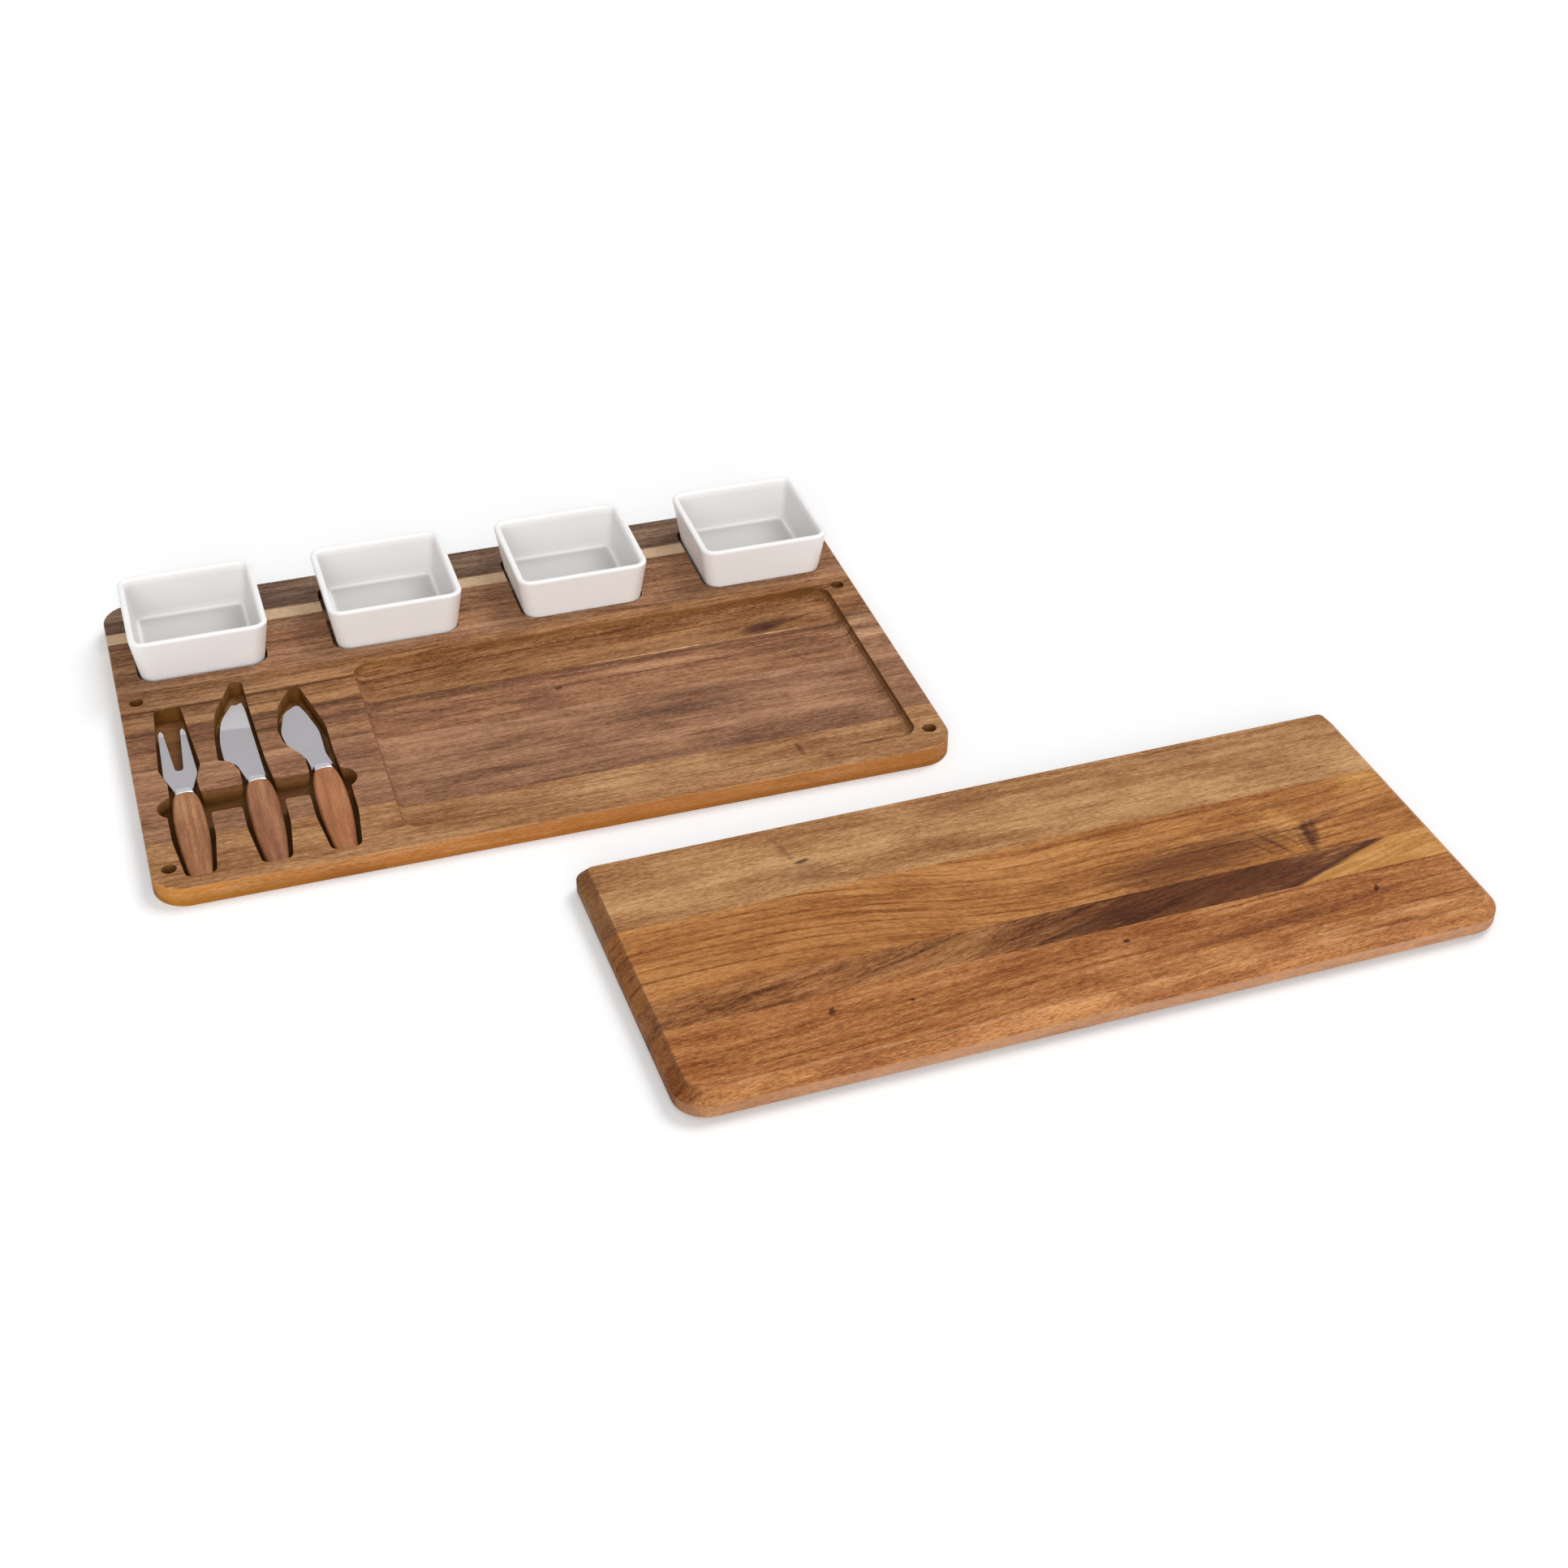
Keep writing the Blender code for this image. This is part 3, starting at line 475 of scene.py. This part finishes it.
def toneRamp(wires, level, look):  # the three named tones, with a deeper and a paler end
    dark, middle, pale = (linear(look[key]) for key in ("dark", "middle", "pale"))
    deep = tuple(woodFinish["deep"] * part for part in dark[:3]) + (1.0,)
    light = tuple(woodFinish["light"] * part for part in pale[:3]) + (1.0,)
    darkAt, paleAt = woodFinish["darkAt"], woodFinish["paleAt"]
    return wires.ramp(level, [(0.0, deep), (darkAt, dark), (0.5, middle), (paleAt, pale), (1.0, light)])


def boardPoint(wires, coordinates, lid):  # millimetres in the board's own plane, the grain along X
    point = wires.scaled(coordinates["Object"], mm)
    if not lid:
        return point
    point = wires.vector("SUBTRACT", point, (lidPlace["x"], lidPlace["y"], 0.0))
    return wires.turned(point, -math.radians(lidPlace["turn"]))


def grainSweep(wires, x, look):  # how far the grain is carried across the stave at each place along it
    if "sweep" not in look:
        return 0.0
    half, reach = woodFinish["halfLength"], woodFinish["sweepReach"]
    points = [((along + half) / (2 * half), 0.5 + across / reach) for along, across in look["sweep"]]
    return wires.centred(wires.curve(wires.remap(x, -half, half), points), reach)


def grainLevel(wires, grain, look):  # from 0, the darkest, to 1
    margin = woodFinish["profileMargin"]
    place = wires.remap(grain["Across"], look["low"] - margin, look["high"] + margin)
    fade = wires.remap(grain["Patch"], *woodFinish["lineFade"])
    level = wires.plus(wires.centred(wires.ramp(place, profileStops(look)), fade), 0.5)
    for key, strength in {**woodFinish["layers"], **look.get("layers", {})}.items():
        level = wires.plus(level, wires.centred(grain[key], strength))
    return wires.math("ADD", level, 0.0, clamp=True)


def addMarks(wires, colour, point, look):  # knots and dark or pale spots, with the grain showing through
    spread = woodFinish["markSpread"]
    for x, y, length, breadth, angle, tone, strength in look["marks"]:
        place = {"Point": point, "Centre": (x, y, 0.0), "Angle": math.radians(angle)}
        size = {"Length": length * spread, "Breadth": breadth * spread}
        mask = wires.group(markGroup, {**place, **size, **woodFinish["markEdge"]})["Mask"]
        shade = [part / whole for part, whole in zip(linear(tone), linear(look["middle"]))]
        cover = wires.times(mask, min(1.0, strength * woodFinish["markStrength"]))
        colour = wires.mix(cover, colour, shade, "MULTIPLY")
    return colour


def addStrip(wires, colour, y, grain, look):  # the pale sapwood strip in the last stave
    strip = look["strip"]
    edge = wires.plus(y, wires.centred(grain["Streak"], strip["wander"]))
    near = wires.remap(y, strip["low"] - strip["lowSoft"], strip["low"] + strip["lowSoft"])
    far = wires.remap(edge, strip["high"] + strip["highSoft"], strip["high"] - strip["highSoft"])
    grained = wires.times(grain["Fine"], strip["grain"])
    pale = wires.mix(grained, linear(strip["colour"]), linear(look["pale"]))
    return wires.mix(wires.times(near, far, strip["cover"]), colour, pale)


def addLens(wires, colour, point, grain, look):  # pale sapwood past a slanted line, with a dark seam along it
    lens = look["lens"]
    (x0, y0), (x1, y1) = lens["near"], lens["far"]
    run = math.hypot(x1 - x0, y1 - y0)
    normal = ((y1 - y0) / run, -(x1 - x0) / run, 0.0)
    off = wires.vector("DOT_PRODUCT", wires.vector("SUBTRACT", point, (x0, y0, 0.0)), normal)
    off = wires.plus(off, wires.centred(grain["Streak"], lens["wander"]))
    inside = wires.remap(off, 0.0, lens["soft"], smooth=True)
    seam = wires.times(wires.remap(off, -lens["seamOut"], 0.0), wires.remap(off, lens["seamIn"], 0.0))
    threads = wires.remap(grain["Thread"], *lens["threads"])
    colour = wires.mix(inside, colour, wires.mix(threads, linear(lens["streak"]), linear(lens["colour"])))
    return wires.mix(wires.times(seam, lens["seamCover"]), colour, linear(lens["edge"]))


def addWearAndHighlight(wires, colour, flat, z, top, grain):  # the roundings along the top are paler: partly handling wear, partly a painted highlight where the rounded edges catch the light
    rise = wires.remap(z, *[top - down for down in woodFinish["wearAndHighlightDown"]])
    rounding = wires.times(wires.remap(flat, *woodFinish["wearAndHighlightTilt"]), rise)
    fade = wires.remap(grain["Thread"], *woodFinish["wearAndHighlightFade"])
    return wires.mix(wires.times(rounding, fade), colour, linear(woodFinish["wearAndHighlightTone"]))


def cutRegion(wires, x, y):  # 1 where the base is cut into, 0 at its own sides
    over = []
    for part, reach in zip((x, y), baseCuts["heart"]):
        past = wires.math("SUBTRACT", wires.math("ABSOLUTE", part), reach)
        over.append(wires.math("MAXIMUM", past, 0.0))
    return wires.remap(wires.vector("LENGTH", wires.joined(*over, 0.0)), *baseCuts["heartReach"])


def addCutShade(wires, colour, point, leftFacing, walls):  # painted shade on the walls and floors of the cuts, by depth and facing away from the key lamp, with painted shade at the bowl seats and beside the handles; the cut tone is partly real, as cut faces and end grain take up more oil
    x, y, z = point
    cuts = baseCuts
    deep = wires.times(wires.remap(z, *cuts["wallDepth"]), wires.remap(leftFacing, *cuts["wallAway"]))
    shadedWall = wires.math("MULTIPLY", walls, deep, clamp=True)
    floor = wires.times(wires.remap(z, *cuts["floorLevel"]), wires.remap(y, *cuts["floorFrontward"]))
    colour = wires.mix(wires.math("MAXIMUM", shadedWall, floor), colour, linear(cuts["tone"]))
    away = wires.times(walls, wires.remap(leftFacing, *cuts["shadeAway"]))
    seats = wires.times(walls, wires.remap(y, *cuts["shadeSeats"]))
    handles = wires.times(wires.remap(z, *cuts["handleDepth"]), wires.remap(y, *cuts["handleFrontward"]))
    handles = wires.times(handles, wires.remap(x, *cuts["handleLeftward"]))
    shade = wires.math("MAXIMUM", wires.math("MAXIMUM", away, seats), handles)
    return wires.mix(shade, colour, cuts["shade"], "MULTIPLY")


def addSide(wires, colour, x, front, grain, look):  # the front side's own tone, warmer at its left end
    tone = wires.remap(x, *woodFinish["sideLeftward"])
    tone = wires.mix(tone, linear(look["side"]), linear(look["sideLeft"]))
    tone = wires.mix(wires.remap(grain["Streak"], *woodFinish["sideGrain"]), tone, colour)
    return wires.mix(front, colour, tone)


def makeWood(name, look, lid=False):
    made, wires, shader = newMaterial(name + "_wood")
    coordinates = wires.node("ShaderNodeTexCoord").outputs
    point = boardPoint(wires, coordinates, lid)
    x, y, z = wires.split(point)
    values = {"Point": point, "Seed": look["seed"], "Sweep": grainSweep(wires, x, look)}
    grain = wires.group(grainGroup, {**values, "Wander": look.get("wander", 1.5)})
    colour = toneRamp(wires, grainLevel(wires, grain, look), look)
    colour = addMarks(wires, colour, point, look)
    if "strip" in look:
        colour = addStrip(wires, colour, y, grain, look)
    if "lens" in look:
        colour = addLens(wires, colour, point, grain, look)
    pores = wires.times(grain["Pore"], woodFinish["pore"])
    colour = wires.mix(pores, colour, linear(woodFinish["poreTone"]))

    facing = wires.split(coordinates["Normal"])
    flat = wires.math("ABSOLUTE", facing[2])
    upright = wires.remap(flat, *woodFinish["upright"])
    front = wires.times(upright, wires.remap(facing[1], *woodFinish["sideFacing"]))
    colour = addWearAndHighlight(wires, colour, flat, z, topOf(name), grain)
    if lid:
        # painted shade on the left end, over its darker end grain
        colour = wires.mix(wires.remap(facing[0], *lidEnd["facing"]), colour, lidEnd["tint"], "MULTIPLY")
    else:
        region = cutRegion(wires, x, y)
        # painted shade in the cuts, over their real darker oiled end grain
        colour = addCutShade(wires, colour, (x, y, z), facing[0], wires.times(upright, region))
        front = wires.times(front, wires.math("SUBTRACT", 1.0, region))
    if "side" in look:
        colour = addSide(wires, colour, x, front, grain, look)
    wires.put(shader.inputs["Base Color"], colour)
    wires.put(shader.inputs["Roughness"], wires.remap(grain["Fine"], *noiseSpan, *woodFinish["roughness"]))
    shader.inputs["Specular IOR Level"].default_value = woodFinish["sheen"]
    height = wires.math("SUBTRACT", grain["Fine"], wires.times(grain["Pore"], woodFinish["poreDepth"]))
    bumped(wires, shader, height, woodFinish["bump"])
    return made


for nodeName, look in baseLooks.items():
    dress(nodeName, makeWood(nodeName, look))
for nodeName, look in lidLooks.items():
    dress(nodeName, makeWood(nodeName, look, lid=True))
print("staves dressed")


# Pegs and tool handles: small pieces of the same wood

handleLooks = {
    "fork_handle": {"seed": 11.2, "dark": (104, 60, 33), "middle": (152, 97, 59), "pale": (196, 143, 98)},
    "knife_handle": {"seed": 12.5, "dark": (100, 57, 34), "middle": (142, 87, 54), "pale": (174, 118, 79)},
    "spreader_handle": {"seed": 13.9, "dark": (112, 63, 35), "middle": (160, 98, 58), "pale": (190, 128, 82)},
}
pegLook = {
    "seed": 14.4, "wander": 0.5, "dark": (110, 66, 38), "middle": (160, 108, 68), "pale": (192, 140, 96),
}

handleFinish = {
    "wander": 0.8, "streaks": {"Streak Length": 70.0, "Streak Width": 3.4},
    "layers": {"Streak": 0.75, "Thread": 0.22, "Fine": 0.3, "Patch": 0.7}, "level": 0.52,
    "flank": (0.7, 1.0, 0.0, 0.5), "flankShadeTone": (60, 32, 18),  # painted shade on the sides that face the pocket walls
    "pore": 0.25, "poreTone": (64, 36, 22),
    "roughness": (0.36, 0.5), "bump": 0.0001, "sheen": 0.25,
}


def makeLongWood(name, look):  # wood whose grain runs along Y
    made, wires, shader = newMaterial(name + "_wood")
    coordinates = wires.node("ShaderNodeTexCoord").outputs
    x, y, z = wires.split(wires.scaled(coordinates["Object"], mm))
    wander = look.get("wander", handleFinish["wander"])
    values = {"Point": wires.joined(y, x, z), "Seed": look["seed"], "Wander": wander}
    grain = wires.group(grainGroup, {**values, **handleFinish["streaks"]})
    level = handleFinish["level"]
    for key, strength in handleFinish["layers"].items():
        level = wires.plus(wires.centred(grain[key], strength), level)
    colour = toneRamp(wires, wires.math("ADD", level, 0.0, clamp=True), look)
    # painted shade on the handle's sides beside the pocket walls
    sideways = wires.math("ABSOLUTE", wires.split(coordinates["Normal"])[0])
    flank = wires.remap(sideways, *handleFinish["flank"])
    colour = wires.mix(flank, colour, linear(handleFinish["flankShadeTone"]))
    pores = wires.times(grain["Pore"], handleFinish["pore"])
    colour = wires.mix(pores, colour, linear(handleFinish["poreTone"]))
    wires.put(shader.inputs["Base Color"], colour)
    wires.put(shader.inputs["Roughness"], wires.remap(grain["Fine"], *noiseSpan, *handleFinish["roughness"]))
    shader.inputs["Specular IOR Level"].default_value = handleFinish["sheen"]
    bumped(wires, shader, wires.math("SUBTRACT", grain["Fine"], grain["Pore"]), handleFinish["bump"])
    return made


for nodeName, look in handleLooks.items():
    dress(nodeName, makeLongWood(nodeName, look))
pegWood = makeLongWood("peg", pegLook)
for number in range(1, 5):
    dress(f"lid_peg_{number}", pegWood)
print("handles and pegs dressed")


# Bowls: warm white glaze. Places are millimetres

glaze = {
    "body": (248, 247, 246), "warm": (246, 244, 243),
    "cloud": (22.0, 2, 0.5), "ripple": (2.4, 2, 0.5),  # the size, detail and roughness of each noise
    # painted highlight: a paler band along the rim
    "rim": (251, 250, 249), "rimDown": (2.2, 0.6), "rimCover": 0.15,
    "shadedWall": (231, 228, 227), "wallFacing": (-0.2, -0.36), "wallDown": (1.0, 5.0),  # painted shade on the inner walls
    # painted shade on the inner floor
    "floor": (205, 203, 200), "floorLevel": (12.3, 11.6), "floorFacing": (0.2, 0.4),
    "roughness": (0.34, 0.42), "sheen": 0.2, "bump": 0.00001,
}


def makeGlaze():
    made, wires, shader = newMaterial("bowl_glaze_look")
    coordinates = wires.node("ShaderNodeTexCoord").outputs
    point = wires.scaled(coordinates["Object"], mm)
    z = wires.split(point)[2]
    facing = wires.split(coordinates["Normal"])
    share = wires.split(coordinates["Generated"])  # 0.5 is the bowl's middle
    top = topOf("bowl_1")
    cloud = wires.cloud(point, *glaze["cloud"])
    colour = wires.mix(cloud, linear(glaze["body"]), linear(glaze["warm"]))

    # painted highlight along the rim
    rim = wires.remap(z, *[top - down for down in glaze["rimDown"]], 0.0, glaze["rimCover"])
    colour = wires.mix(rim, colour, linear(glaze["rim"]))
    # painted shade on the inner walls and floor
    outward = wires.plus(wires.centred(share[0], facing[0]), wires.centred(share[1], facing[1]))
    below = wires.remap(z, *[top - down for down in glaze["wallDown"]])
    shadedWall = wires.times(wires.remap(outward, *glaze["wallFacing"]), below)
    colour = wires.mix(shadedWall, colour, linear(glaze["shadedWall"]))
    floor = wires.times(wires.remap(z, *glaze["floorLevel"]), wires.remap(facing[2], *glaze["floorFacing"]))
    colour = wires.mix(floor, colour, linear(glaze["floor"]))

    wires.put(shader.inputs["Base Color"], colour)
    wires.put(shader.inputs["Roughness"], wires.remap(cloud, *noiseSpan, *glaze["roughness"]))
    shader.inputs["Specular IOR Level"].default_value = glaze["sheen"]
    bumped(wires, shader, wires.cloud(point, *glaze["ripple"]), glaze["bump"])
    return made


glazeLook = makeGlaze()
for number in range(1, 5):
    dress(f"bowl_{number}", glazeLook)
print("bowls dressed")


# Steel: satin blades brushed across, and polished collars. Places are millimetres

steelLooks = {
    "blade": {
        "tone": (163, 160, 164), "worn": (178, 175, 180), "roughness": (0.26, 0.4), "brushWidth": 0.22,
        "tipHighlight": (204, 203, 206),  # painted highlight: the knife's and the fork's far ends catch more light
        "brightFrom": {"x": -152.0, "slope": 0.12, "y": (-3.5, -1.0), "cover": 0.75, "end": (-133.0, -135.0)},
    },
    "collar": {
        "tone": (200, 199, 201), "worn": (178, 175, 180), "roughness": (0.14, 0.24), "brushWidth": 0.3,
        "flank": (74, 66, 60), "flankFacing": (0.55, 0.9, 0.0, 0.85),  # painted reflection: the sides mirror the dark pocket
    },
}
steelFinish = {
    "brushLength": 9.0, "brush": (3, 0.6), "cloud": (14.0, 3, 0.55),
    "roughRange": (0.7, 1.3), "bump": 0.00002,
}


def makeSteel(name, look):
    made, wires, shader = newMaterial(name + "_steel")
    coordinates = wires.node("ShaderNodeTexCoord").outputs
    point = wires.scaled(coordinates["Object"], mm)
    x, y, z = wires.split(point)
    stroke = wires.shrunk((x, y, z), (steelFinish["brushLength"], look["brushWidth"], 1.0))
    brush = wires.noise(stroke, *steelFinish["brush"])
    cloud = wires.cloud(point, *steelFinish["cloud"])
    colour = wires.mix(brush, linear(look["tone"]), linear(look["worn"]))
    # painted highlight on the far ends of the knife and fork blades
    if "tipHighlight" in look:
        start = look["brightFrom"]
        slant = wires.times(wires.math("SUBTRACT", x, start["x"]), start["slope"])
        tipHighlight = wires.remap(wires.plus(y, slant), *start["y"], 0.0, start["cover"], smooth=True)
        tipHighlight = wires.times(tipHighlight, wires.remap(x, *start["end"]))
        colour = wires.mix(tipHighlight, colour, linear(look["tipHighlight"]))
    # painted reflection of the dark pocket on the collars' sides
    if "flank" in look:
        sideways = wires.math("ABSOLUTE", wires.split(coordinates["Normal"])[0])
        colour = wires.mix(wires.remap(sideways, *look["flankFacing"]), colour, linear(look["flank"]))
    wires.put(shader.inputs["Base Color"], colour)
    shader.inputs["Metallic"].default_value = 1.0
    dull = wires.remap(wires.plus(brush, cloud), *steelFinish["roughRange"], *look["roughness"])
    wires.put(shader.inputs["Roughness"], dull)
    bumped(wires, shader, brush, steelFinish["bump"])
    return made


for part, look in steelLooks.items():
    steel = makeSteel(part, look)
    for tool in ("fork", "knife", "spreader"):
        dress(f"{tool}_{part}", steel)
print("steel dressed")


# Stage: floor, light and camera

stage = {
    "floorReach": 6.0, "floorTone": 0.86, "floorLift": 0.185, "floorRoughness": 0.9,
    "cool": (0.992, 1.0, 1.006), "warm": (0.99, 0.996, 1.0),  # two faint tints of the tone
    "mottle": (1 / 3, 2, 0.5),  # metres across, then the detail and roughness of the noise
    "sky": 0.38,
    "lamps": {  # where each comes from, its energy and its angle across
        "key": ((0.55, 0.25, 0.8), 1.34, 30), "fill": ((-0.2, -0.85, 0.45), 1.8, 55),
    },
}


def seenRays(wires):  # 1 for rays that show a surface as it is, 0 for those that only light others
    path = wires.node("ShaderNodeLightPath").outputs
    seen = wires.plus(path["Is Camera Ray"], path["Is Glossy Ray"])
    return wires.math("ADD", seen, path["Is Transmission Ray"], clamp=True)


def makeFloor():
    mesh = bpy.data.meshes.new("floor")
    form = bmesh.new()
    bmesh.ops.create_grid(form, x_segments=2, y_segments=2, size=stage["floorReach"])
    form.to_mesh(mesh)
    form.free()
    floor = bpy.data.objects.new("floor", mesh)
    bpy.context.scene.collection.objects.link(floor)
    material, wires, shader = newMaterial("floor_white")
    point = wires.node("ShaderNodeTexCoord").outputs["Object"]
    cool, warm = ([stage["floorTone"] * part for part in stage[tint]] + [1.0] for tint in ("cool", "warm"))
    wires.put(shader.inputs["Base Color"], wires.mix(wires.cloud(point, *stage["mottle"]), cool, warm))
    shader.inputs["Roughness"].default_value = stage["floorRoughness"]
    shader.inputs["Specular IOR Level"].default_value = 0.0
    shader.inputs["Emission Color"].default_value = (1, 1, 1, 1)
    wires.put(shader.inputs["Emission Strength"], wires.times(seenRays(wires), stage["floorLift"]))
    mesh.materials.append(material)


def makeLight():
    world = bpy.data.worlds.new("studio")
    bpy.context.scene.world = world
    world.use_nodes = True
    sky = Wiring(world.node_tree)
    background = world.node_tree.nodes["Background"]
    background.inputs["Color"].default_value = (1, 1, 1, 1)
    sky.put(background.inputs["Strength"], sky.remap(seenRays(sky), 0.0, 1.0, stage["sky"], 1.0))
    for name, (source, energy, angle) in stage["lamps"].items():
        light = bpy.data.lights.new(name, "SUN")
        light.energy = energy
        light.angle = math.radians(angle)
        lamp = bpy.data.objects.new(name, light)
        lamp.rotation_euler = Vector(source).to_track_quat("Z", "Y").to_euler()
        bpy.context.scene.collection.objects.link(lamp)


view = {  # fitted to the photograph: metres, degrees, and millimetres for the lens and its sensor
    "place": (-0.21411, -1.16851, 0.79524), "turn": -17.836, "down": 36.166, "roll": 0.063,
    "lens": 57.198, "sensor": 36.0, "clipEnd": 50,
}


def makeCamera():
    lens = bpy.data.cameras.new("camera")
    lens.sensor_width = view["sensor"]
    lens.lens = view["lens"]
    lens.clip_end = view["clipEnd"]
    camera = bpy.data.objects.new("camera", lens)
    turn = Matrix.Rotation(math.radians(view["turn"]), 4, "Z")
    tilt = Matrix.Rotation(math.radians(90 - view["down"]), 4, "X")
    roll = Matrix.Rotation(math.radians(view["roll"]), 4, "Z")
    camera.matrix_world = Matrix.Translation(view["place"]) @ turn @ tilt @ roll
    bpy.context.scene.collection.objects.link(camera)
    bpy.context.scene.camera = camera


makeFloor()
makeLight()
makeCamera()
bpy.context.scene.view_settings.view_transform = "Standard"
print("stage and camera set")
